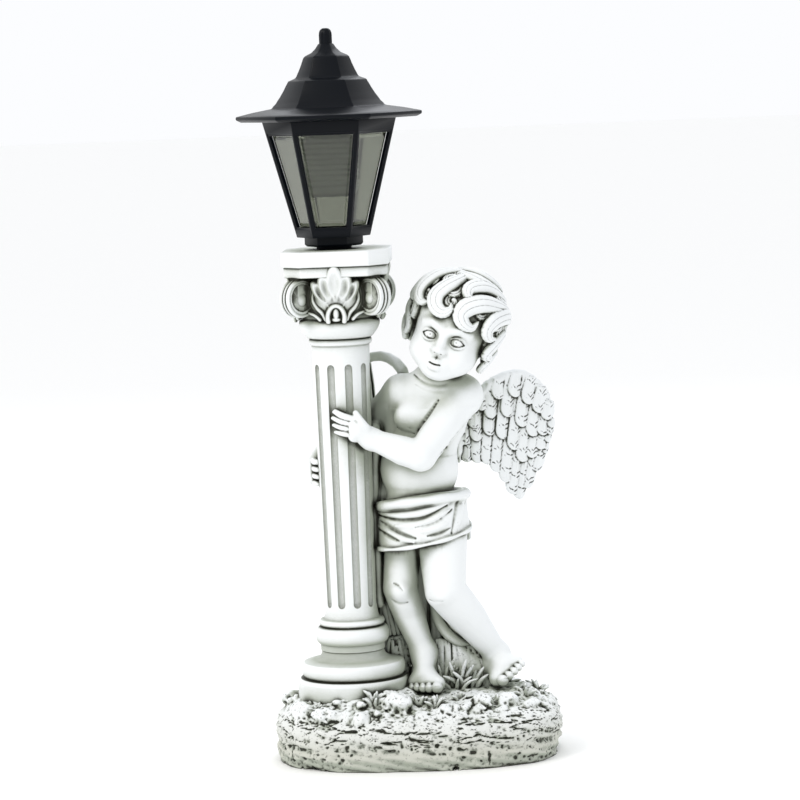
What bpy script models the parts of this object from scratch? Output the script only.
"""Angel garden statue: a resin child angel beside a fluted column that carries a lantern.

The statue is one cast body: rock base, column, figure, wings and cloth. The lantern on top
of the column is made of a cage, six panes, a lens, a roof and a finial.

Shapes are built in millimetres and turned into metres when an object is added. +Z is up, the
front faces -Y, and the origin is on the ground under the middle of the base. The figure is
set out in hundredths of its own height, so that its pose and proportions scale together.
"""

from math import cos, exp, pi, radians, sin, tau

import bmesh
import bpy
from mathutils import Matrix, Vector

MM = 0.001
FIT_GAP = 0.3

# Driving sizes of the base
BASE_HALF_WIDTH = 100.5
BASE_HALF_DEPTH = 67.0
BASE_SQUARENESS = 2.5
BASE_LIP_HEIGHT = 25.0
BASE_TOP_HEIGHT = 44.0
BASE_SIDES = 60

# Driving sizes of the column
COLUMN_X = -43.3
COLUMN_Y = -2.2
COLUMN_SIDES = 26
PLINTH_RADIUS = 38.8
PLINTH_RISE = 7.0
RING_RISE = 4.5
LOWER_ROLL_RADIUS = 35.4
LOWER_ROLL_RISE = 10.5
COVE_RISE = 6.2
FILLET_RADIUS = 22.0
FILLET_RISE = 3.8
UPPER_ROLL_RADIUS = 25.2
UPPER_ROLL_RISE = 11.6
SMALL_ROLL_RISE = 4.6
SHAFT_FLARE_RISE = 8.2
SHAFT_LENGTH = 180.0
SHAFT_BOTTOM_RADIUS = 17.6
SHAFT_TOP_RADIUS = 19.8
FLUTE_COUNT = 10
FLUTE_RADIUS = 3.0
FLUTE_DEPTH = 1.9
FLUTE_MARGIN = 12.0
BOWL_RADIUS = 27.6
BOWL_RISE = 18.0
CAPITAL_CORE_RADIUS = 24.0
CAPITAL_CORE_RISE = 30.0
VOLUTE_RADIUS = 13.2
VOLUTE_THICKNESS = 9.6
VOLUTE_REACH = 36.0
ABACUS_HALF = 36.5
ABACUS_CHAMFER = 12.8
ABACUS_STEP_RISE = 7.0
ABACUS_UPPER_RISE = 10.5

# Heights of the column, each one on the one below
GROUND = 45.0
MOULDING_GAP = 0.6
RING_BOTTOM = GROUND + PLINTH_RISE
LOWER_ROLL_BOTTOM = RING_BOTTOM + RING_RISE + MOULDING_GAP
COVE_BOTTOM = LOWER_ROLL_BOTTOM + LOWER_ROLL_RISE + 2 * MOULDING_GAP
FILLET_BOTTOM = COVE_BOTTOM + COVE_RISE + MOULDING_GAP
UPPER_ROLL_BOTTOM = FILLET_BOTTOM + FILLET_RISE + MOULDING_GAP
SMALL_ROLL_BOTTOM = UPPER_ROLL_BOTTOM + UPPER_ROLL_RISE + MOULDING_GAP
SHAFT_FLARE_BOTTOM = SMALL_ROLL_BOTTOM + SMALL_ROLL_RISE + MOULDING_GAP
SHAFT_BOTTOM = SHAFT_FLARE_BOTTOM + SHAFT_FLARE_RISE - MOULDING_GAP
SHAFT_TOP = SHAFT_BOTTOM + SHAFT_LENGTH
BOWL_TOP = SHAFT_TOP + BOWL_RISE
ABACUS_BOTTOM = BOWL_TOP + CAPITAL_CORE_RISE
ABACUS_STEP = ABACUS_BOTTOM + ABACUS_STEP_RISE
ABACUS_TOP = ABACUS_STEP + ABACUS_UPPER_RISE
VOLUTE_HEIGHT = ABACUS_BOTTOM - VOLUTE_RADIUS - MOULDING_GAP

# Driving sizes of the figure. It is drawn at one height and ground, in millimetres, and each
# of its places, widths and folds is a share of that drawing's height.
FIGURE_HEIGHT = 290.0
FIGURE_DRAWING = (290.0, 45.0)
HEAD_TILT = 20.0
HEAD_TURN = -10.0
HEAD_NOD = 6.0
CLAY_VOXEL = 1.5
CLAY_KEEP = 0.0192

# Wings, in millimetres: the leading edge from root to outer end, and the feather tips below it
SPREAD_WING_EDGE = (
    (38.0, 17.0, 236.0),
    (46.5, 20.4, 243.5),
    (62.0, 27.8, 254.5),
    (77.0, 34.2, 257.5),
    (88.0, 39.3, 250.5),
    (95.0, 43.0, 239.0),
    (96.5, 45.3, 224.0),
)
SPREAD_WING_TIPS = (
    (33.0, 18.0, 199.0),
    (44.0, 23.5, 197.0),
    (55.0, 28.2, 195.5),
    (65.0, 33.0, 182.0),
    (71.5, 38.3, 168.0),
    (81.0, 42.1, 181.0),
    (92.5, 45.1, 200.0),
)
FOLDED_WING_EDGE = (
    (0.0, 17.0, 250.0),
    (-3.5, 20.0, 265.0),
    (-13.9, 25.3, 273.0),
    (-26.0, 31.0, 272.5),
    (-38.0, 39.0, 265.0),
    (-46.0, 47.0, 251.0),
    (-49.0, 51.0, 235.0),
)
FOLDED_WING_TIPS = (
    (-12.0, 17.0, 226.0),
    (-14.0, 18.5, 220.0),
    (-19.0, 22.0, 208.0),
    (-26.0, 29.0, 196.0),
    (-33.0, 37.0, 182.0),
    (-40.0, 44.0, 192.0),
    (-47.0, 50.0, 210.0),
)
# Each row of feathers: share of the wing it covers, count, width and lift towards the front
FEATHER_ROWS = (
    (1.0, 12, 9.0, 0.0),
    (0.70, 11, 9.0, 1.8),
    (0.46, 10, 9.0, 3.4),
    (0.24, 9, 8.0, 4.6),
)
FEATHER_THICKNESS = 5.0

# Driving sizes of the lantern, which stands a little off the middle of the column
LANTERN_SHIFT = -1.5
HEX = 6
FOOT_RISE = 1.8
BOSS_RISE = 6.4
CAGE_RISE = 79.0
CAGE_FLOOR_THICKNESS = 4.0
CAGE_BOTTOM_RADIUS = 25.0
CAGE_TOP_RADIUS = 45.6
CAGE_WALL = 3.0
BAR_STRIP = 3.2
TOP_RAIL = 9.5
BOTTOM_RAIL = 3.0
FOOT_RADIUS = 12.0
BOSS_RADIUS = 20.0
PANE_THICKNESS = 1.2
PANE_RAISE = 0.9
PANE_BEVEL = 2.2
LENS_RADIUS = 18.5
LENS_WALL = 1.4
LENS_DEPTH = 52.0
LENS_FLANGE_REACH = 3.5
BRIM_RADIUS = 63.5
BRIM_RISE = 9.7
ROOF_WALL = 3.2
LOWER_TIER_RADIUS = 37.6
LOWER_TIER_RISE = 18.0
UPPER_TIER_RADIUS = 22.0
UPPER_TIER_RISE = 15.6
COLLAR_RADIUS = 5.2
COLLAR_RISE = 7.7
FINIAL_RADIUS = 4.4
FINIAL_RISE = 10.4

# Heights of the lantern, each one on the one below
CAGE_BOTTOM = ABACUS_TOP + FIT_GAP
BOSS_BOTTOM = CAGE_BOTTOM + FOOT_RISE
CAGE_FLOOR = BOSS_BOTTOM + BOSS_RISE
CAGE_TOP = CAGE_FLOOR + CAGE_RISE
LENS_BOTTOM = CAGE_TOP - LENS_DEPTH
ROOF_BOTTOM = CAGE_TOP + FIT_GAP
LOWER_TIER_BOTTOM = ROOF_BOTTOM + BRIM_RISE
LOWER_TIER_TOP = LOWER_TIER_BOTTOM + LOWER_TIER_RISE
UPPER_TIER_TOP = LOWER_TIER_TOP + UPPER_TIER_RISE
COLLAR_TOP = UPPER_TIER_TOP + COLLAR_RISE
FINIAL_BOTTOM = COLLAR_TOP + FIT_GAP
FINIAL_TOP = FINIAL_BOTTOM + FINIAL_RISE

COLUMN = Vector((COLUMN_X, COLUMN_Y, 0.0))
LANTERN = COLUMN + Vector((LANTERN_SHIFT, 0.0, 0.0))

# Landmarks of the figure, in hundredths of its height, from the ground under the origin
POSE = {
    "head": (12.1, -2.0, 86.4),
    "neck": (5.9, 0.9, 72.2),
    "chest": (5.6, 2.2, 64.2),
    "belly": (2.4, 0.9, 52.8),
    "pelvis": (2.2, 1.5, 40.8),
    "shoulder right": (-1.4, 2.7, 70.6),
    "elbow right": (-11.3, 9.8, 60.7),
    "wrist right": (-19.8, 7.0, 57.4),
    "hand right": (-22.7, 2.6, 53.8),
    "shoulder left": (13.1, 0.7, 69.6),
    "elbow left": (3.3, -8.9, 56.7),
    "wrist left": (-8.3, -7.1, 60.9),
    "palm left": (-11.2, -8.6, 63.2),
    "hip right": (-1.9, 2.7, 37.9),
    "knee right": (-3.2, 0.0, 24.4),
    "calf right": (-1.6, 1.4, 18.2),
    "ankle right": (1.7, 2.1, 8.4),
    "hip left": (7.1, 1.1, 37.9),
    "knee left": (7.6, -3.7, 24.0),
    "calf left": (12.8, -0.4, 16.6),
    "ankle left": (19.0, 3.4, 7.2),
}


def at(name):
    """Place of a named landmark, in millimetres."""
    return figure_point(*POSE[name])


def figure_point(x, y, z):
    """Place on the figure's drawing, from hundredths of its height."""
    height, ground = FIGURE_DRAWING
    return Vector((x, y, z)) * (height / 100) + Vector((0, 0, ground))


def share(value):
    """Length on the figure's drawing, from hundredths of its height."""
    return value * FIGURE_DRAWING[0] / 100


def figure_place():
    """Step from the figure's drawing to its real height and to the ground that it stands on."""
    height, ground = FIGURE_DRAWING
    lift = Matrix.Translation((0, 0, GROUND))
    size = Matrix.Scale(FIGURE_HEIGHT / height, 4)
    return lift @ size @ Matrix.Translation((0, 0, -ground))


def clear_scene():
    """Remove every object, so that the model is all that the file holds."""
    for old in list(bpy.data.objects):
        bpy.data.objects.remove(old)


def principled(name, colour, roughness, metallic=0.0, alpha=1.0):
    """Make a material with one Principled shader."""
    material = bpy.data.materials.new(name)
    material.use_nodes = True
    shader = material.node_tree.nodes["Principled BSDF"]
    shader.inputs["Base Color"].default_value = (*colour, 1.0)
    shader.inputs["Roughness"].default_value = roughness
    shader.inputs["Metallic"].default_value = metallic
    shader.inputs["Alpha"].default_value = alpha
    return material


def add_object(name, shape, material=None, smooth_angle=None):
    """Add a shape as a named object, in metres."""
    bmesh.ops.scale(shape, vec=(MM, MM, MM), verts=shape.verts)
    bmesh.ops.recalc_face_normals(shape, faces=shape.faces)
    mesh = bpy.data.meshes.new(name)
    shape.to_mesh(mesh)
    shape.free()
    added = bpy.data.objects.new(name, mesh)
    bpy.context.scene.collection.objects.link(added)
    if material:
        mesh.materials.append(material)
    if smooth_angle:
        mesh.shade_smooth()
        mesh.set_sharp_from_angle(angle=radians(smooth_angle))
    return added


def as_tool(tool):
    """Mark an object as a cutter or a helper, which is not part of the model."""
    tool.hide_render = True
    tool.display_type = "WIRE"
    return tool


def combine(target, tool, operation, solver="EXACT"):
    """Join or cut the target with another object."""
    step = target.modifiers.new(f"{operation.lower()} {tool.name}", "BOOLEAN")
    step.operation = operation
    step.solver = solver
    step.object = tool


def loft(shape, rings):
    """Bridge closed rings of equal length, with a flat cap on the first and the last."""
    rows = [[shape.verts.new(point) for point in ring] for ring in rings]
    for lower, upper in zip(rows, rows[1:]):
        for i in range(len(lower)):
            j = (i + 1) % len(lower)
            shape.faces.new((lower[i], lower[j], upper[j], upper[i]))
    shape.faces.new(reversed(rows[0]))
    shape.faces.new(rows[-1])


def ring(radius, height, sides, turn=0.0, centre=COLUMN):
    """Regular ring of points around a vertical axis."""
    angles = (turn + tau * i / sides for i in range(sides))
    return [centre + Vector((radius * cos(a), radius * sin(a), height)) for a in angles]


def turned(shape, profile, sides, turn=0.0, centre=COLUMN):
    """Turned or many-sided body from radius and height pairs, bottom to top."""
    loft(shape, [ring(radius, height, sides, turn, centre) for radius, height in profile])


def roll(edge, bulge, bottom, top, steps=6):
    """Radius and height pairs of a round moulding."""
    middle = (bottom + top) / 2
    half = (top - bottom) / 2
    angles = (-pi / 2 + pi * i / steps for i in range(steps + 1))
    return [(edge + (bulge - edge) * cos(a), middle + half * sin(a)) for a in angles]


def cove(bottom_radius, bottom, top_radius, top, steps=4):
    """Radius and height pairs of a hollow moulding that narrows upwards."""
    angles = (pi / 2 * i / steps for i in range(steps + 1))
    return [(top_radius + (bottom_radius - top_radius) * (1 - sin(a)),
             top + (bottom - top) * cos(a)) for a in angles]


def along(points, t):
    """Point at share t of a smooth curve through evenly spaced points."""
    last = len(points) - 1
    place = min(max(t, 0.0), 1.0) * last
    i = min(int(place), last - 1)
    f = place - i
    before, start, end, after = (points[min(max(k, 0), last)] for k in (i - 1, i, i + 1, i + 2))
    return 0.5 * (2 * start + (end - before) * f
                  + (2 * before - 5 * start + 4 * end - after) * f * f
                  + (3 * start - before - 3 * end + after) * f * f * f)


def spots(*triples, start=Vector()):
    """Points from x, y and z triples, measured from a starting point."""
    return [start + Vector(triple) for triple in triples]


def hull(shape, balls, rows=6, columns=10):
    """Add the convex hull of some balls, given as centre and radius pairs."""
    part = bmesh.new()
    for centre, radius in balls:
        for i in range(rows + 1):
            polar = pi * i / rows
            count = columns if 0 < i < rows else 1
            for j in range(count):
                angle = tau * j / count
                way = Vector((sin(polar) * cos(angle), sin(polar) * sin(angle), cos(polar)))
                part.verts.new(centre + way * radius)
    result = bmesh.ops.convex_hull(part, input=part.verts)
    loose = {item for item in result["geom_interior"] + result["geom_unused"]
             if isinstance(item, bmesh.types.BMVert)}
    bmesh.ops.delete(part, geom=list(loose), context="VERTS")
    append(shape, part)


def append(shape, part):
    """Copy one shape into another."""
    copy = bpy.data.meshes.new("part")
    part.to_mesh(copy)
    part.free()
    shape.from_mesh(copy)
    bpy.data.meshes.remove(copy)


def chain(shape, points, sizes):
    """Add a run of limbs through the points, each limb a hull of two balls."""
    for i in range(len(points) - 1):
        hull(shape, ((points[i], sizes[i]), (points[i + 1], sizes[i + 1])))


def ellipsoid(shape, centre, radii, turn=None):
    """Add an ellipsoid, turned by a 3x3 matrix if one is given."""
    facing = turn.to_4x4() if turn else Matrix()
    place = Matrix.Translation(centre) @ facing @ Matrix.Diagonal((*radii, 1.0))
    bmesh.ops.create_icosphere(shape, subdivisions=3, radius=1.0, matrix=place)


def frame_of(along_axis, up_hint):
    """3x3 matrix whose Z runs along an axis and whose Y is near the hint."""
    z = along_axis.normalized()
    x = up_hint.cross(z).normalized()
    return Matrix((x, z.cross(x), z)).transposed()


def leaf(shape, start, end, width, thickness, facing):
    """Add a flat rounded blade from start to end, its face towards facing."""
    way = end - start
    middle = (start + end) / 2
    ellipsoid(shape, middle, (width / 2, thickness / 2, way.length / 2), frame_of(way, facing))


# The base

def ground_height(x, y):
    """Height of the soil at a place on the base."""
    reach = abs(x / BASE_HALF_WIDTH) ** BASE_SQUARENESS + abs(y / BASE_HALF_DEPTH) ** BASE_SQUARENESS
    share_out = min(reach, 1.0) ** (1 / BASE_SQUARENESS)
    side_lift = 5.0 * min(1.0, max(0.0, 1.0 + y / BASE_HALF_DEPTH))
    lip = BASE_LIP_HEIGHT + side_lift
    mound = 6.0 * exp(-((x - 74.0) / 17.0) ** 2 - ((y - 4.0) / 22.0) ** 2)
    return lip + (BASE_TOP_HEIGHT - lip) * (1 - share_out ** 4) + mound


def base_mass(shape):
    """Rock slab with rough sides and a domed top."""
    below = 5.0
    side_rows = ((0.955, -below), (0.975, 3.0), (1.0, 10.0), (0.985, 14.0), (1.0, 18.0))
    top_rows = (1.0, 0.97, 0.9, 0.8, 0.65, 0.45, 0.2)
    rings = []
    for factor, height in side_rows:
        rings.append([base_edge(i, factor, height) for i in range(BASE_SIDES)])
    for factor in top_rows:
        row = [base_edge(i, factor, 0.0) for i in range(BASE_SIDES)]
        rings.append([Vector((p.x, p.y, ground_height(p.x, p.y))) for p in row])
    loft(shape, rings)


def base_edge(i, factor, height):
    """Point of the base outline, roughened by a few waves."""
    angle = tau * i / BASE_SIDES
    power = 2 / BASE_SQUARENESS
    x = abs(cos(angle)) ** power * (1 if cos(angle) > 0 else -1)
    y = abs(sin(angle)) ** power * (1 if sin(angle) > 0 else -1)
    rough = 1 - 0.008 * (1 + sin(7 * angle + 1 + height * 0.2)) - 0.006 * (1 + sin(17 * angle + height))
    return Vector((BASE_HALF_WIDTH * x * factor * rough, BASE_HALF_DEPTH * y * factor * rough, height))


def rocks(shape):
    """Loose stones that stick out of the soil: place and half sizes."""
    stones = (
        ((-77.0, -31.0), (9.0, 7.0, 7.0)),
        ((-15.0, -38.0), (16.0, 9.0, 8.0)),
        ((-60.0, -44.0), (12.0, 8.0, 5.0)),
        ((44.0, -34.0), (11.0, 7.0, 7.0)),
        ((61.0, -27.0), (8.0, 6.0, 6.0)),
        ((-84.0, 8.0), (8.0, 12.0, 6.0)),
        ((10.0, 44.0), (15.0, 9.0, 6.0)),
        ((-48.0, 46.0), (11.0, 8.0, 6.0)),
        ((60.0, 36.0), (12.0, 10.0, 6.0)),
    )
    for (x, y), radii in stones:
        ellipsoid(shape, Vector((x, y, ground_height(x, y) + 1.0)), radii)


def stump(shape):
    """Rough lump between the column and the standing leg, which hides the end of the cloth."""
    lumps = spots((-14.0, 17.0, 50.0), (-15.0, 17.0, 68.0), (-3.0, 21.0, 58.0))
    hull(shape, zip(lumps, (12.0, 7.0, 8.0)))
    tussock = spots((14.0, 21.0, 48.0), (34.0, 20.0, 48.0), (24.0, 21.0, 66.0))
    hull(shape, zip(tussock, (10.0, 8.0, 5.0)))


def grass(shape):
    """Tufts of broad blades that fan out of the soil."""
    tufts = (
        ((20.0, 10.0), 26.0, 7, 62.0),
        ((36.0, 6.0), 20.0, 6, 50.0),
        ((-28.0, -41.0), 11.0, 5, 70.0),
        ((2.0, -38.0), 10.0, 5, 70.0),
        ((74.0, -12.0), 9.0, 6, 80.0),
        ((82.0, 6.0), 9.0, 6, 80.0),
    )
    for (x, y), length, count, spread in tufts:
        root = Vector((x, y, ground_height(x, y) - 2.0))
        for i in range(count):
            lean = radians(spread) * (i / (count - 1) - 0.5)
            tip = root + Vector((sin(lean) * 0.8, -0.25 * cos(3 * i), cos(lean))) * length
            leaf(shape, root, tip, 4.6, 3.2, Vector((0, -1, 0)))


# The column

def column_profile():
    """Radius and height pairs of the turned column, bottom to top."""
    return [
        (PLINTH_RADIUS + 1.5, GROUND - 15.0),
        (PLINTH_RADIUS, GROUND + 2.0),
        (PLINTH_RADIUS - 1.0, RING_BOTTOM - 0.5),
        *roll(PLINTH_RADIUS - 2.5, PLINTH_RADIUS - 1.0, RING_BOTTOM, RING_BOTTOM + RING_RISE, 2),
        *roll(LOWER_ROLL_RADIUS - 5.0, LOWER_ROLL_RADIUS,
              LOWER_ROLL_BOTTOM, LOWER_ROLL_BOTTOM + LOWER_ROLL_RISE, 4),
        (FILLET_RADIUS + 7.0, COVE_BOTTOM - 0.2),
        *cove(FILLET_RADIUS + 6.2, COVE_BOTTOM, FILLET_RADIUS - 0.7, COVE_BOTTOM + COVE_RISE, 2),
        (FILLET_RADIUS, FILLET_BOTTOM),
        (FILLET_RADIUS, FILLET_BOTTOM + FILLET_RISE),
        *roll(UPPER_ROLL_RADIUS - 3.0, UPPER_ROLL_RADIUS,
              UPPER_ROLL_BOTTOM, UPPER_ROLL_BOTTOM + UPPER_ROLL_RISE, 4),
        *roll(FILLET_RADIUS - 1.0, FILLET_RADIUS + 0.4,
              SMALL_ROLL_BOTTOM, SMALL_ROLL_BOTTOM + SMALL_ROLL_RISE, 2),
        (SHAFT_BOTTOM_RADIUS + 1.6, SHAFT_FLARE_BOTTOM),
        (SHAFT_BOTTOM_RADIUS + 0.5, SHAFT_BOTTOM - SHAFT_FLARE_RISE * 0.43),
        (SHAFT_BOTTOM_RADIUS, SHAFT_BOTTOM),
        (SHAFT_TOP_RADIUS, SHAFT_TOP),
        *roll(SHAFT_TOP_RADIUS + 0.4, SHAFT_TOP_RADIUS + 1.8, SHAFT_TOP + 0.4, SHAFT_TOP + 5.0, 2),
        (SHAFT_TOP_RADIUS + 3.2, SHAFT_TOP + 5.6),
        (BOWL_RADIUS - 1.2, SHAFT_TOP + 11.0),
        (BOWL_RADIUS, BOWL_TOP - 2.5),
        (BOWL_RADIUS - 0.8, BOWL_TOP),
        (CAPITAL_CORE_RADIUS, BOWL_TOP + 0.6),
        (CAPITAL_CORE_RADIUS + 1.5, ABACUS_BOTTOM + 2.0),
    ]


def flutes():
    """Cutter of rounded grooves around the shaft."""
    shape = bmesh.new()
    stand_off = FLUTE_RADIUS - FLUTE_DEPTH
    low = SHAFT_BOTTOM + FLUTE_RADIUS
    high = SHAFT_TOP - FLUTE_MARGIN - FLUTE_RADIUS
    for i in range(FLUTE_COUNT):
        angle = -pi / 2 + tau * (i + 0.5) / FLUTE_COUNT
        ends = []
        for height in (low, high):
            part = (height - SHAFT_BOTTOM) / (SHAFT_TOP - SHAFT_BOTTOM)
            radius = SHAFT_BOTTOM_RADIUS + (SHAFT_TOP_RADIUS - SHAFT_BOTTOM_RADIUS) * part
            reach = radius + stand_off
            ends.append(COLUMN + Vector((reach * cos(angle), reach * sin(angle), height)))
        hull(shape, ((ends[0], FLUTE_RADIUS), (ends[1], FLUTE_RADIUS)), 4, 6)
    return as_tool(add_object("flute cutter", shape))


def abacus(shape):
    """Square slab with cut corners in two steps."""
    def outline(half, chamfer, height):
        short = half - chamfer
        corners = ((half, -short), (half, short), (short, half), (-short, half),
                   (-half, short), (-half, -short), (-short, -half), (short, -half))
        return [COLUMN + Vector((x, y, height)) for x, y in corners]

    inset = 1.6
    loft(shape, [
        outline(ABACUS_HALF - inset - 1.5, ABACUS_CHAMFER - 1.0, ABACUS_BOTTOM),
        outline(ABACUS_HALF - inset, ABACUS_CHAMFER - 0.6, ABACUS_BOTTOM + 1.5),
        outline(ABACUS_HALF - inset, ABACUS_CHAMFER - 0.6, ABACUS_STEP),
        outline(ABACUS_HALF, ABACUS_CHAMFER, ABACUS_STEP + 0.6),
        outline(ABACUS_HALF, ABACUS_CHAMFER, ABACUS_TOP),
    ])


def volute(shape, angle):
    """Upright scroll on a diagonal: a thick disc with a sunk ring and an eye on each face."""
    outward = Vector((cos(angle), sin(angle), 0.0))
    centre = COLUMN + outward * VOLUTE_REACH + Vector((0, 0, VOLUTE_HEIGHT))
    axis = outward.cross(Vector((0, 0, 1)))
    up = Vector((0, 0, 1))
    half = VOLUTE_THICKNESS / 2
    face = ((2.6, half + 0.5), (5.4, half - 1.8), (8.6, half - 1.8), (9.6, half),
            (VOLUTE_RADIUS, half - 0.6))
    profile = [*face, *((radius, -depth) for radius, depth in reversed(face))]
    sides = 12
    rings = []
    for radius, depth in profile:
        spokes = (tau * i / sides for i in range(sides))
        rings.append([centre + axis * depth + (outward * cos(a) + up * sin(a)) * radius
                      for a in spokes])
    loft(shape, rings)


def volute_neck(shape, angle):
    """Band that carries a scroll from under the slab."""
    outward = Vector((cos(angle), sin(angle), 0.0))
    side = outward.cross(Vector((0, 0, 1)))
    half = VOLUTE_THICKNESS / 2 - 0.8
    rows = []
    top = ABACUS_BOTTOM + 1.5
    spans = (
        (VOLUTE_REACH - 24.0, VOLUTE_HEIGHT - 13.0, top),
        (VOLUTE_REACH - 10.0, VOLUTE_HEIGHT - 8.0, top),
        (VOLUTE_REACH, VOLUTE_HEIGHT - 1.0, top - 0.7),
    )
    for reach, low, high in spans:
        middle = COLUMN + outward * reach
        rows.append([middle + side * s * half + Vector((0, 0, h))
                     for s, h in ((-1, low), (1, low), (1, high), (-1, high))])
    loft(shape, rows)


def palmette(shape, angle):
    """Fan of five leaves with a small bud, on one face of the capital."""
    outward = Vector((cos(angle), sin(angle), 0.0))
    side = Vector((-sin(angle), cos(angle), 0.0))
    root = COLUMN + outward * (CAPITAL_CORE_RADIUS + 1.5)
    leaves = (
        (0.0, ABACUS_STEP, ABACUS_HALF - 1.5, 11.5),
        (9.5, ABACUS_BOTTOM + 2.5, ABACUS_HALF - 3.5, 6.5),
        (16.0, ABACUS_BOTTOM - 1.5, ABACUS_HALF - 6.0, 5.0),
    )
    for shift, top, reach, width in leaves:
        for sign in ((-1, 1) if shift else (1,)):
            start = root + side * sign * shift * 0.15 + Vector((0, 0, BOWL_TOP + 5.0))
            end = COLUMN + outward * reach + side * sign * shift + Vector((0, 0, top))
            leaf(shape, start, end, width, 6.0, outward)
    ellipsoid(shape, root + outward * 1.5 + Vector((0, 0, BOWL_TOP + 3.5)), (4.2, 4.2, 5.5))


def column():
    """Column with its capital and slab, as the body that the rest is joined to."""
    shaft = bmesh.new()
    turned(shaft, column_profile(), COLUMN_SIDES, -pi / 2)
    body = add_object("statue", shaft, principled("resin", (0.80, 0.82, 0.80), 0.7), 35)
    combine(body, flutes(), "DIFFERENCE")
    slab = bmesh.new()
    abacus(slab)
    combine(body, as_tool(add_object("abacus helper", slab)), "UNION")
    for i in range(4):
        angle = pi / 4 + pi / 2 * i
        neck = bmesh.new()
        volute_neck(neck, angle)
        combine(body, as_tool(add_object(f"volute neck helper {i}", neck)), "UNION", "MANIFOLD")
        scroll = bmesh.new()
        volute(scroll, angle)
        combine(body, as_tool(add_object(f"volute helper {i}", scroll)), "UNION", "MANIFOLD")
    return body


# The figure

def head_frame():
    """Turn of the head: tilted to the viewer's right, turned a little to the column."""
    tilt = Matrix.Rotation(radians(HEAD_TILT), 3, "Y")
    swing = Matrix.Rotation(radians(HEAD_TURN), 3, "Z")
    nod = Matrix.Rotation(radians(HEAD_NOD), 3, "X")
    return tilt @ swing @ nod


def head_point(x, y, z):
    """Place on the head, from its centre: x to the viewer's right, y back, z up."""
    return at("head") + head_frame() @ Vector((x, y, z))


def head(shape):
    """Skull and a plain child's face of general proportions."""
    turn = head_frame()
    masses = (
        ((0, 3, 5), (27, 30, 27)),
        ((0, -7, -13), (22.5, 21, 24.5)),
        ((0, -23.5, -31.5), (6.5, 6, 5.5)),
        ((0, -28.6, -23), (4.6, 2.2, 1.7)),
        ((0, -28.2, -25.8), (3.9, 2.2, 1.9)),
    )
    for place, radii in masses:
        ellipsoid(shape, head_point(*place), radii, turn)
    for s in (-1, 1):
        ellipsoid(shape, head_point(11 * s, -14, -18), (10.5, 11, 10), turn)
        ellipsoid(shape, head_point(9.3 * s, -22.8, -7), (4.8, 4.6, 3.6), turn)
        ellipsoid(shape, head_point(28 * s, 1, -10), (3, 5, 8), turn)
        ellipsoid(shape, head_point(2.7 * s, -28.2, -16.6), (2.0, 2.0, 1.8), turn)
        brow = ((4.5, -26.4, -0.8), (10, -25.0, 1.4), (15, -21.5, -0.4))
        chain(shape, [head_point(x * s, y, z) for x, y, z in brow], (1.6, 1.9, 1.5))
    chain(shape, [head_point(0, -26.0, -5.5), head_point(0, -30.2, -15.2)], (2.0, 2.9))


def hair(shape):
    """Cap of hair with rows of thick curled locks."""
    turn = head_frame()
    cap_centre = Vector((0, 5, 6.5))
    cap = Vector((30.0, 29.5, 27.0))
    ellipsoid(shape, head_point(*cap_centre), cap, turn)
    for s in (-1, 1):
        ellipsoid(shape, head_point(20 * s, 10, -11), (10, 16, 15), turn)
    rows = ((10, 3, 0), (38, 7, 0), (65, 9, 0), (86, 8, 50), (105, 8, 58), (126, 7, 66))
    for row, (polar, count, bare) in enumerate(rows):
        span = 360 - 2 * bare
        for i in range(count):
            step = i / count if bare == 0 else i / (count - 1)
            angle = radians(bare + span * step + (11 if bare == 0 else 0) * row)
            tip = radians(polar)
            way = Vector((sin(tip) * sin(angle), -sin(tip) * cos(angle), cos(tip)))
            spot = cap_centre + Vector((way.x * cap.x, way.y * cap.y, way.z * cap.z))
            normal = Vector((way.x / cap.x, way.y / cap.y, way.z / cap.z)).normalized()
            curl(shape, spot, normal, 1 if (i + row) % 2 else -1, 0.6 * i + row)


def curl(shape, spot, normal, hand, phase):
    """One lock: a tapering comma that lies on the cap."""
    down = (Vector((0, 0.3, -1)) - normal * normal.dot(Vector((0, 0.3, -1)))).normalized()
    across = normal.cross(down) * hand
    steps = 6
    points = []
    sizes = []
    for k in range(steps + 1):
        t = k / steps
        angle = radians(-60 + 270 * t) + 0.25 * sin(phase)
        radius = 7.6 - 4.2 * t
        place = spot + (across * cos(angle) + down * sin(angle)) * radius + normal * (0.5 + 2.4 * t)
        points.append(head_point(*place))
        sizes.append(4.4 - 2.0 * t)
    chain(shape, points, sizes)


def torso(shape):
    """Round trunk of a small child, with the neck and shoulders."""
    ellipsoid(shape, at("chest"), (share(8.5), share(6.0), share(8.2)))
    ellipsoid(shape, at("belly"), (share(9.2), share(6.9), share(9.2)))
    ellipsoid(shape, at("pelvis"), (share(9.8), share(7.0), share(6.8)))
    left, right, neck = at("shoulder left"), at("shoulder right"), at("neck")
    hull(shape, ((neck, share(4.4)), (head_point(0, 4, -20), share(4.6))))
    for shoulder in (left, right):
        hull(shape, ((neck, share(4.0)), (shoulder, share(3.5))))
        hull(shape, ((at("chest"), share(6.0)), (shoulder, share(3.6))))


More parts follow.
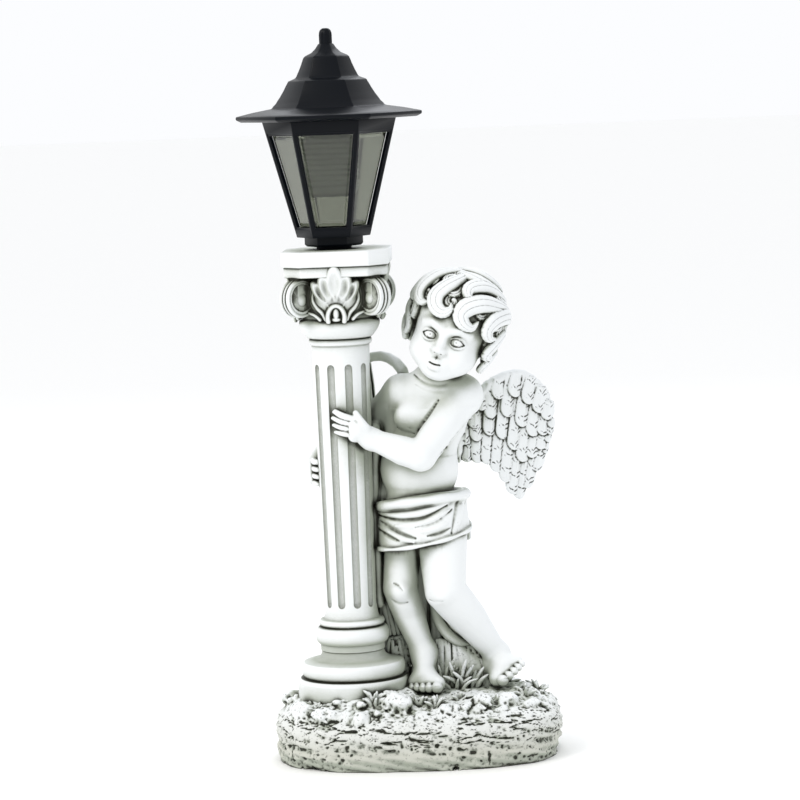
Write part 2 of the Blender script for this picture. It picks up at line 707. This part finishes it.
def arms(shape):
    """Front arm to the column, far arm around behind it, and both hands."""
    chain(shape, [at("shoulder left"), at("elbow left")], (share(4.3), share(3.7)))
    chain(shape, [at("elbow left"), at("wrist left")], (share(3.6), share(2.3)))
    chain(shape, [at("shoulder right"), at("elbow right")], (share(4.0), share(3.4)))
    chain(shape, [at("elbow right"), at("wrist right")], (share(3.4), share(2.3)))
    palm = at("palm left")
    knuckles = spots((-3.0, -0.5, 4.5), (-3.0, 0.5, -4.5), start=palm)
    hull(shape, ((at("wrist left"), share(2.3)), (palm, share(2.0)),
                 (knuckles[0], share(1.2)), (knuckles[1], share(1.2))))
    roots = spots((-35.0, -26.0, 235.6), (-35.4, -25.4, 225.4))
    tips = spots((-46.6, -22.8, 240.8), (-47.4, -22.0, 227.4))
    fingers(shape, roots, tips, Vector((-1.2, -1.4, 0.0)), 2.5)
    thumb = spots((-27.0, -26.0, 229.8), (-30.6, -27.0, 235.4), (-33.4, -25.6, 240.0))
    chain(shape, thumb, (3.2, 2.7, 2.2))
    far = at("hand right")
    lower_palm = far + Vector((0, -3, -8))
    hull(shape, ((at("wrist right"), share(2.3)), (far, share(2.2)), (lower_palm, share(1.6))))
    roots = spots((0.4, -3.0, 4.0), (0.6, -4.0, -10.0), start=far)
    tips = spots((4.6, -13.0, 4.0), (4.8, -13.5, -11.0), start=far)
    fingers(shape, roots, tips, Vector((-1.0, -1.0, 0.0)), 2.4)


def fingers(shape, roots, tips, arch, size):
    """Four fingers side by side, each bent once and thinner to its tip."""
    for i in range(4):
        t = i / 3
        root = roots[0].lerp(roots[1], t)
        long = 1.0 + 0.12 * sin(pi * (t + 0.15))
        tip = root + (tips[0].lerp(tips[1], t) - root) * long
        joint = root.lerp(tip, 0.5) + arch
        thick = size * (1.0 - 0.12 * t)
        chain(shape, (root, joint, tip), (thick, thick * 0.95, thick * 0.8))


def legs(shape):
    """Standing leg beside the column and free leg that crosses before it, with the feet."""
    chain(shape, [at("hip right"), at("knee right"), at("calf right"), at("ankle right")],
          (share(5.0), share(4.1), share(3.8), share(2.9)))
    chain(shape, [at("hip left"), at("knee left"), at("calf left"), at("ankle left")],
          (share(6.1), share(5.0), share(4.5), share(2.9)))
    foot(shape, at("ankle right"), *spots((4.6, 8.6, 54.0), (14.2, -19.5, 49.0), (-3.6, -15.0, 48.6)))
    foot(shape, at("ankle left"), *spots((52.5, 12.0, 56.5), (59.2, -9.0, 50.6), (73.0, 1.0, 56.6)))


def foot(shape, ankle, heel, big_toe, little_toe):
    """Chubby foot with five toes in a row."""
    toes_middle = (big_toe + little_toe) / 2
    back = (heel - toes_middle) * 0.28
    instep = toes_middle + back * 1.6 + Vector((0, 0, 3))
    hull(shape, ((ankle, share(2.9)), (heel, share(2.6)), (instep, share(2.2))))
    hull(shape, ((heel, share(2.5)), (heel.lerp(ankle, 0.6), share(2.4)),
                 (big_toe + back, 4.4), (little_toe + back, 3.2)))
    for i in range(5):
        t = (i / 4) ** 0.85
        tip = big_toe.lerp(little_toe, t) - back * 0.18 * sin(pi * t)
        size = (3.9, 2.9, 2.7, 2.5, 2.3)[i]
        chain(shape, (tip + back, tip), (size, size * 0.95))


def drape_point(angle, height, out=0.0):
    """Point on the wrapped cloth around the hips; angle -90 faces the front."""
    centre = at("pelvis")
    a = radians(angle)
    flare = 1.0 + 0.06 * (165.0 - height) / 20.0
    across = 29.6 * flare + out
    deep = 23.4 * flare + out
    return Vector((centre.x + across * cos(a), centre.y + deep * sin(a), height))


def drapery(shape):
    """Cloth around the hips with a rolled hem, curved folds and a knot on the left hip."""
    rings = []
    for part in (0.0, 0.15, 0.5, 0.85, 1.0):
        row = []
        for i in range(32):
            angle = 360 * i / 32
            low = hem_height(angle)
            high = waist_height(angle)
            pinch = -1.6 if part in (0.0, 1.0) else 0.4
            row.append(drape_point(angle, low + (high - low) * part, pinch))
        rings.append(row)
    loft(shape, rings)
    steps = 12
    for start, end, sag, size in ((-196, 8, 0.0, 3.3), (-192, -6, -5.0, 2.4), (-190, -10, -10.0, 2.6),
                                  (-150, -14, -13.0, 2.2), (-200, -40, -21.0, 2.6)):
        points = []
        for k in range(steps + 1):
            t = k / steps
            angle = start + (end - start) * t
            height = waist_height(angle) - 2.0 + sag * sin(pi * min(1.0, 0.25 + 0.75 * t)) ** 0.8
            points.append(drape_point(angle, height, 1.2))
        chain(shape, points, [size * (0.7 + 0.3 * sin(pi * k / steps)) for k in range(steps + 1)])
    for shift in (-7.0, 0.0, 7.0):
        run = [drape_point(-4 + shift, 182.0, 1.0), drape_point(-2 + shift * 1.6, 170.0, 2.2),
               drape_point(shift * 2.2, 153.0, 0.8)]
        chain(shape, run, (2.6, 3.2, 2.0))


def waist_height(angle):
    """Height of the cloth's upper edge around the hips."""
    return 179.5 + 3.0 * cos(radians(angle)) - 1.0 * cos(radians(2 * angle))


def hem_height(angle):
    """Height of the cloth's lower edge around the hips."""
    return 150.0 + 5.5 * cos(radians(angle)) + 3.0 * sin(radians(angle))


def hanging_cloth(shape):
    """Long end of the cloth behind the legs, in upright pleats."""
    columns = 22
    rows = 6
    half = 2.6
    rings = []
    for k in range(rows + 1):
        fall = k / rows
        front = []
        back = []
        for j in range(columns + 1):
            t = j / columns
            x = -27.0 + 62.0 * t - 4.0 * fall * (1 - t)
            low = 77.0 - 7.0 * t
            z = 166.0 + (low - 166.0) * fall
            y = 20.5 + 2.0 * sin(2.0 * pi * t * 5.5) * fall - 5.0 * fall * max(0.0, t - 0.7) / 0.3
            front.append(Vector((x, y - half, z)))
            back.append(Vector((x, y + half, z)))
        rings.append([*front, *reversed(back)])
    loft(shape, rings)
    strut = spots((-23.0, 13.0, 226.0), (-25.5, 12.6, 160.0), (-25.0, 13.8, 108.0))
    for shift in (-9.5, -3.2, 3.2):
        chain(shape, [p + Vector((0, shift, 0)) for p in strut], (4.4, 4.6, 4.6))
    chain(shape, spots((-16.0, 13.0, 232.0), (-18.5, 12.0, 184.0)), (5.0, 5.0))


def wing(shape, leading, trailing, first):
    """Wing as rows of overlapping feathers between a leading and a trailing curve."""
    for row, (end_share, count, width, lift) in enumerate(FEATHER_ROWS):
        for i in range(count):
            shift = 0.5 if row % 2 else 0.0
            u = first + (1 - first) * min(1.0, (i + shift) / (count - 1 + shift))
            root, tip = along(leading, u), along(trailing, u)
            ahead = along(leading, min(1.0, u + 0.05)) - along(leading, max(0.0, u - 0.05))
            facing = ahead.cross(tip - root).normalized()
            if facing.y > 0:
                facing = -facing
            end = root.lerp(tip, end_share) + facing * lift * 0.6
            leaf(shape, root + facing * lift, end, width, FEATHER_THICKNESS, facing)
    steps = 10
    ridge = [along(leading, k / steps) for k in range(steps + 1)]
    chain(shape, ridge, [4.2 - 1.8 * k / steps for k in range(steps + 1)])


def wings(shape):
    """Both wings: one spread to the viewer's right, one folded back behind the column."""
    wing(shape, spots(*SPREAD_WING_EDGE), spots(*SPREAD_WING_TIPS), 0.0)
    root = spots((30.0, 16.0, 236.0), (45.0, 20.5, 240.0), (31.0, 15.0, 208.0))
    hull(shape, zip(root, (7.0, 4.0, 5.0)))
    wing(shape, spots(*FOLDED_WING_EDGE), spots(*FOLDED_WING_TIPS), 0.56)
    root = spots((-2.0, 16.0, 236.0), (-20.0, 20.0, 232.0), (-30.0, 28.0, 236.0))
    chain(shape, root, (6.0, 5.0, 5.0))


def figure_and_ground():
    """Everything that was modelled by hand, fused into one clay-like body."""
    figure = bmesh.new()
    for add in (head, hair, torso, arms, legs, drapery, hanging_cloth, wings):
        add(figure)
    bmesh.ops.transform(figure, matrix=figure_place(), verts=figure.verts)
    clay = bmesh.new()
    for add in (base_mass, rocks, stump, grass):
        add(clay)
    append(clay, figure)
    for i in range(4):
        palmette(clay, -pi / 2 + pi / 2 * i)
    body = as_tool(add_object("figure helper", clay))
    fuse = body.modifiers.new("fuse", "REMESH")
    fuse.mode = "VOXEL"
    fuse.voxel_size = CLAY_VOXEL * MM
    soften = body.modifiers.new("soften", "SMOOTH")
    soften.factor = 0.5
    soften.iterations = 2
    thin = body.modifiers.new("thin", "DECIMATE")
    thin.ratio = CLAY_KEEP
    return body


def below_ground():
    """Box that cuts the underside flat."""
    shape = bmesh.new()
    place = Matrix.Translation((0, 0, -30.0)) @ Matrix.Diagonal((300.0, 240.0, 60.0, 1.0))
    bmesh.ops.create_cube(shape, size=1.0, matrix=place)
    return as_tool(add_object("underside cutter", shape))


def statue():
    """One cast body: column, figure, wings, cloth and base."""
    body = column()
    combine(body, figure_and_ground(), "UNION", "MANIFOLD")
    combine(body, below_ground(), "DIFFERENCE", "MANIFOLD")


# The lantern

def cage_radius(height):
    """Corner radius of the cage's outer faces at a height."""
    part = (height - CAGE_FLOOR) / (CAGE_TOP - CAGE_FLOOR)
    return CAGE_BOTTOM_RADIUS + (CAGE_TOP_RADIUS - CAGE_BOTTOM_RADIUS) * part


def side_point(side, across, inward, height):
    """Place on one cage side: across it, inward from its outer face, at a height."""
    normal = radians(30 + 60 * side)
    out = Vector((cos(normal), sin(normal), 0.0))
    tangent = Vector((-sin(normal), cos(normal), 0.0))
    reach = cage_radius(height) * cos(pi / HEX) - inward
    return LANTERN + out * reach + tangent * across + Vector((0, 0, height))


def side_panel(side, low, high, strip, layers):
    """Rings of a tapered panel: each layer has a depth and an extra inset at its edge."""
    rings = []
    for inward, inset in layers:
        row = []
        for height, sign in ((low + inset, -1), (low + inset, 1), (high - inset, 1), (high - inset, -1)):
            half = cage_radius(height) / 2 - strip - inset
            row.append(side_point(side, sign * half, inward, height))
        rings.append(row)
    return rings


def lantern_cage(plastic):
    """Foot, boss, floor, six bars and top rail in one moulding."""
    body = bmesh.new()
    turned(body, [
        (CAGE_BOTTOM_RADIUS, CAGE_FLOOR),
        (CAGE_TOP_RADIUS, CAGE_TOP),
    ], HEX, 0.0, LANTERN)
    cage = add_object("lantern_cage", body, plastic, 30)
    inner = bmesh.new()
    slack = CAGE_WALL / cos(pi / HEX)
    floor = CAGE_FLOOR + CAGE_FLOOR_THICKNESS
    turned(inner, [
        (cage_radius(floor) - slack, floor),
        (cage_radius(CAGE_TOP + 4.0) - slack, CAGE_TOP + 4.0),
    ], HEX, 0.0, LANTERN)
    combine(cage, as_tool(add_object("cage room cutter", inner)), "DIFFERENCE")
    windows = bmesh.new()
    for side in range(HEX):
        through = ((-4.0, 0.0), (CAGE_WALL + 3.0, 0.0))
        loft(windows, side_panel(side, floor + BOTTOM_RAIL, CAGE_TOP - TOP_RAIL, BAR_STRIP, through))
    combine(cage, as_tool(add_object("window cutter", windows)), "DIFFERENCE")
    boss = bmesh.new()
    turned(boss, [
        (BOSS_RADIUS - 1.5, BOSS_BOTTOM),
        (BOSS_RADIUS, BOSS_BOTTOM + 1.5),
        (BOSS_RADIUS, CAGE_FLOOR + 1.0),
    ], HEX, 0.0, LANTERN)
    combine(cage, as_tool(add_object("boss helper", boss)), "UNION")
    foot_ring = bmesh.new()
    turned(foot_ring, [(FOOT_RADIUS, CAGE_BOTTOM), (FOOT_RADIUS, BOSS_BOTTOM + 1.0)], 24, 0.0, LANTERN)
    combine(cage, as_tool(add_object("foot helper", foot_ring)), "UNION")


def panes(clear):
    """Six tapered panes against the inner faces of the cage, each with a raised field."""
    low = CAGE_FLOOR + CAGE_FLOOR_THICKNESS + FIT_GAP
    high = CAGE_TOP - 1.5
    outer = CAGE_WALL + FIT_GAP
    strip = (outer + PANE_THICKNESS) * 0.58 + 0.6
    margin = BAR_STRIP + FIT_GAP
    bottom_margin = BOTTOM_RAIL + 0.6
    for side in range(HEX):
        shape = bmesh.new()
        plate = side_panel(side, low, high, strip, ((outer + PANE_THICKNESS, 0.0), (outer, 0.0)))
        field_low = low + bottom_margin
        field_high = CAGE_TOP - TOP_RAIL - 0.6
        bevel = ((outer, 0.0), (outer - PANE_RAISE, PANE_BEVEL))
        field = side_panel(side, field_low, field_high, margin + 0.6, bevel)
        loft(shape, [*plate, *field])
        add_object(f"pane_{side + 1}", shape, clear)


def lens(clear):
    """Light diffuser: a cup with a flange, open at the top."""
    top = CAGE_TOP
    shape = bmesh.new()
    outer = [
        (LENS_RADIUS * 0.45, LENS_BOTTOM),
        (LENS_RADIUS * 0.85, LENS_BOTTOM + 2.0),
        (LENS_RADIUS - 1.0, LENS_BOTTOM + 7.0),
        (LENS_RADIUS, top - 2.0),
        (LENS_RADIUS + LENS_FLANGE_REACH, top - 2.0),
        (LENS_RADIUS + LENS_FLANGE_REACH, top),
    ]
    inner = [
        (LENS_RADIUS - LENS_WALL, top),
        (LENS_RADIUS - 1.0 - LENS_WALL, LENS_BOTTOM + 7.6),
        (LENS_RADIUS * 0.45, LENS_BOTTOM + LENS_WALL + 1.4),
    ]
    turned(shape, [*outer, *inner], 16, 0.0, LANTERN)
    add_object("lens", shape, clear, 40)


def tier(radius, bottom, rise):
    """Hollow-curved slope of a roof tier, given as shares of its foot radius and of its rise."""
    curve = ((1.0, 0.022), (0.92, 0.222), (0.83, 0.5), (0.761, 0.756), (0.713, 0.933))
    return [(radius * width, bottom + rise * height) for width, height in curve]


def roof(plastic):
    """Two-tier hollow roof with a wide thin brim and a closed underside with a six-sided hole."""
    wall = ROOF_WALL / cos(pi / HEX)
    lower = tier(LOWER_TIER_RADIUS, LOWER_TIER_BOTTOM, LOWER_TIER_RISE)
    upper = tier(UPPER_TIER_RADIUS, LOWER_TIER_TOP + 0.3, UPPER_TIER_RISE - 0.3)
    shape = bmesh.new()
    turned(shape, [
        (BRIM_RADIUS - 3.5, ROOF_BOTTOM),
        (BRIM_RADIUS, ROOF_BOTTOM + BRIM_RISE * 0.175),
        (BRIM_RADIUS, ROOF_BOTTOM + BRIM_RISE * 0.39),
        (BRIM_RADIUS - 12.0, ROOF_BOTTOM + BRIM_RISE * 0.66),
        (LOWER_TIER_RADIUS + 1.2, ROOF_BOTTOM + BRIM_RISE * 0.876),
        *lower,
        *upper,
        (upper[-1][0] - 1.4, UPPER_TIER_TOP),
        (COLLAR_RADIUS * 2.0, UPPER_TIER_TOP + COLLAR_RISE * 0.234),
        (COLLAR_RADIUS * 1.42, UPPER_TIER_TOP + COLLAR_RISE * 0.6),
        (COLLAR_RADIUS, COLLAR_TOP),
    ], HEX, 0.0, LANTERN)
    body = add_object("roof", shape, plastic, 30)
    room = bmesh.new()
    turned(room, [
        (LENS_RADIUS, ROOF_BOTTOM - 3.0),
        (LENS_RADIUS, ROOF_BOTTOM + BRIM_RISE * 0.27),
        (LOWER_TIER_RADIUS - wall, ROOF_BOTTOM + BRIM_RISE * 0.29),
        *((radius - wall, height) for radius, height in (lower[0], lower[2])),
        (lower[4][0] - wall, lower[3][1]),
        (upper[0][0] - wall, lower[3][1] + 0.8),
        (upper[4][0] - wall, upper[3][1]),
    ], HEX, 0.0, LANTERN)
    combine(body, as_tool(add_object("roof room cutter", room)), "DIFFERENCE")


def finial(plastic):
    """Small ribbed knob with a domed top."""
    ribs = 8
    groove = 0.5
    dome = (
        (1.0, FINIAL_BOTTOM),
        (1.0, FINIAL_TOP - FINIAL_RISE * 0.35),
        (0.8, FINIAL_TOP - FINIAL_RISE * 0.12),
        (0.4, FINIAL_TOP),
    )
    rings = []
    for scale, height in dome:
        row = []
        for i in range(ribs * 2):
            radius = (FINIAL_RADIUS - groove * (i % 2)) * scale
            angle = tau * i / (ribs * 2)
            row.append(LANTERN + Vector((radius * cos(angle), radius * sin(angle), height)))
        rings.append(row)
    shape = bmesh.new()
    loft(shape, rings)
    add_object("finial", shape, plastic, 30)


def lantern():
    """The lantern that rests on the slab."""
    plastic = principled("black plastic", (0.012, 0.016, 0.026), 0.4)
    clear = principled("clear plastic", (0.60, 0.64, 0.60), 0.15, alpha=0.45)
    lantern_cage(plastic)
    panes(clear)
    lens(principled("lens plastic", (0.85, 0.88, 0.88), 0.2, alpha=0.6))
    roof(plastic)
    finial(plastic)


def main():
    """Build the whole object."""
    clear_scene()
    statue()
    lantern()


main()
